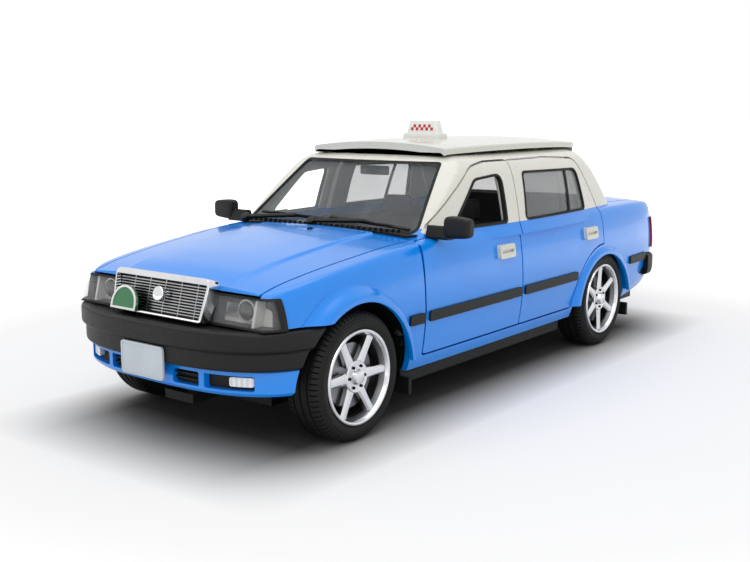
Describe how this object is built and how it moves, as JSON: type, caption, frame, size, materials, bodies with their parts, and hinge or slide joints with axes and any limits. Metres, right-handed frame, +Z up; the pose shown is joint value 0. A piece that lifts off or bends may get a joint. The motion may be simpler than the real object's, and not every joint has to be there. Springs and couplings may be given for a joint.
{
  "type": "toy taxi",
  "caption": "Die-cast toy taxi saloon with opening doors, bonnet and boot, rolling wheels and a pull-back motor.",
  "frame": {"origin": "on the ground, midway between the bumper faces and between the sides", "axes": "+Z up, the nose points along -Y, +X is the left of the car"},
  "size_m": [0.0628, 0.146, 0.0507],
  "materials": {
    "body_paint": "gloss sky blue enamel on cast zinc",
    "roof_white": "gloss white",
    "sign_white": "gloss white",
    "clear_glass": "clear moulded plastic glazing",
    "lamp_clear": "clear moulded lens",
    "lamp_silver": "bright vacuum plated",
    "lamp_red": "translucent red",
    "lamp_white": "gloss white",
    "chrome_trim": "bright vacuum plated",
    "badge_green": "printed green with a pale rim",
    "plate_pale": "satin, bare",
    "trim_black": "satin black",
    "chassis_black": "satin black",
    "seat_grey": "satin dark grey",
    "steel": "bright drawn",
    "rim_silver": "silver plated",
    "tyre_black": "soft black rubber",
    "motor_ivory": "moulded",
    "gear_amber": "moulded",
    "brass": "turned"
  },
  "bodies": {
    "body": {"body_shell": "body_paint", "roof_panel": "roof_white", "roof_sign": "sign_white", "windscreen": "clear_glass", "rear_window": "clear_glass", "hinge_pins": "steel", "front_bumper": "trim_black", "front_apron": "body_paint", "rear_bumper": "trim_black", "grille": "chrome_trim", "headlamp_lens_left": "lamp_clear", "headlamp_lens_right": "lamp_clear", "headlamp_reflector_left": "lamp_silver", "headlamp_reflector_right": "lamp_silver", "tail_lamp_left": "lamp_red", "tail_lamp_right": "lamp_red", "fog_lamps": "lamp_white", "front_plate": "plate_pale", "badge_plate": "badge_green", "wiper_left": "trim_black", "wiper_right": "trim_black", "cowl_grille": "trim_black", "side_strips": "trim_black", "chassis": "chassis_black", "cabin_tub": "chassis_black", "front_seats": "seat_grey", "rear_seat": "seat_grey", "dashboard": "chassis_black", "steering_wheel": "chassis_black", "motor_case": "motor_ivory", "chassis_screws": "steel"},
    "bonnet": {"bonnet": "body_paint", "bonnet_hinge": "trim_black"},
    "boot": {"boot_lid": "body_paint", "boot_hinge": "trim_black", "rear_plate": "plate_pale"},
    "front_door_left": {"front_door_left": "body_paint", "front_door_card_left": "seat_grey", "front_door_strip_left": "trim_black", "mirror_left": "trim_black"},
    "rear_door_left": {"rear_door_left": "body_paint", "rear_door_card_left": "seat_grey", "rear_door_strip_left": "trim_black", "rear_door_glass_left": "clear_glass"},
    "front_door_right": {"front_door_right": "body_paint", "front_door_card_right": "seat_grey", "front_door_strip_right": "trim_black", "mirror_right": "trim_black"},
    "rear_door_right": {"rear_door_right": "body_paint", "rear_door_card_right": "seat_grey", "rear_door_strip_right": "trim_black", "rear_door_glass_right": "clear_glass"},
    "front_wheelset": {"front_axle": "steel", "front_wheels": "rim_silver", "front_tyres": "tyre_black"},
    "rear_wheelset": {"rear_axle": "steel", "rear_wheels": "rim_silver", "rear_tyres": "tyre_black", "axle_pinion": "brass"},
    "spring_drum": {"drum_gear": "gear_amber"}
  },
  "joints": [
    {"name": "front_door_left_hinge", "type": "hinge", "parent": "body", "child": "front_door_left", "pos_m": [0.0232, -0.0355, 0.02], "axis": [0, 0, -1], "range_deg": [0, 60]},
    {"name": "rear_door_left_hinge", "type": "hinge", "parent": "body", "child": "rear_door_left", "pos_m": [0.0232, -0.0029, 0.02], "axis": [0, 0, -1], "range_deg": [0, 60]},
    {"name": "front_door_right_hinge", "type": "hinge", "parent": "body", "child": "front_door_right", "pos_m": [-0.0232, -0.0355, 0.02], "axis": [0, 0, 1], "range_deg": [0, 60]},
    {"name": "rear_door_right_hinge", "type": "hinge", "parent": "body", "child": "rear_door_right", "pos_m": [-0.0232, -0.0029, 0.02], "axis": [0, 0, 1], "range_deg": [0, 60]},
    {"name": "bonnet_hinge", "type": "hinge", "parent": "body", "child": "bonnet", "pos_m": [0, -0.037, 0.0282], "axis": [-1, 0, 0], "range_deg": [0, 45]},
    {"name": "boot_hinge", "type": "hinge", "parent": "body", "child": "boot", "pos_m": [0, 0.0564, 0.0289], "axis": [1, 0, 0], "range_deg": [0, 60]},
    {"name": "front_axle_spin", "type": "hinge", "parent": "body", "child": "front_wheelset", "pos_m": [0, -0.0496, 0.0107], "axis": [1, 0, 0], "continuous": true},
    {"name": "rear_axle_spin", "type": "hinge", "parent": "body", "child": "rear_wheelset", "pos_m": [0, 0.0374, 0.0107], "axis": [1, 0, 0], "continuous": true},
    {"name": "drum_spin", "type": "hinge", "parent": "body", "child": "spring_drum", "pos_m": [0, 0.02991, 0.0135], "axis": [1, 0, 0], "continuous": true}
  ],
  "couplings": [
    {"joint": "drum_spin", "follows": "rear_axle_spin", "ratio": -0.33333}
  ]
}
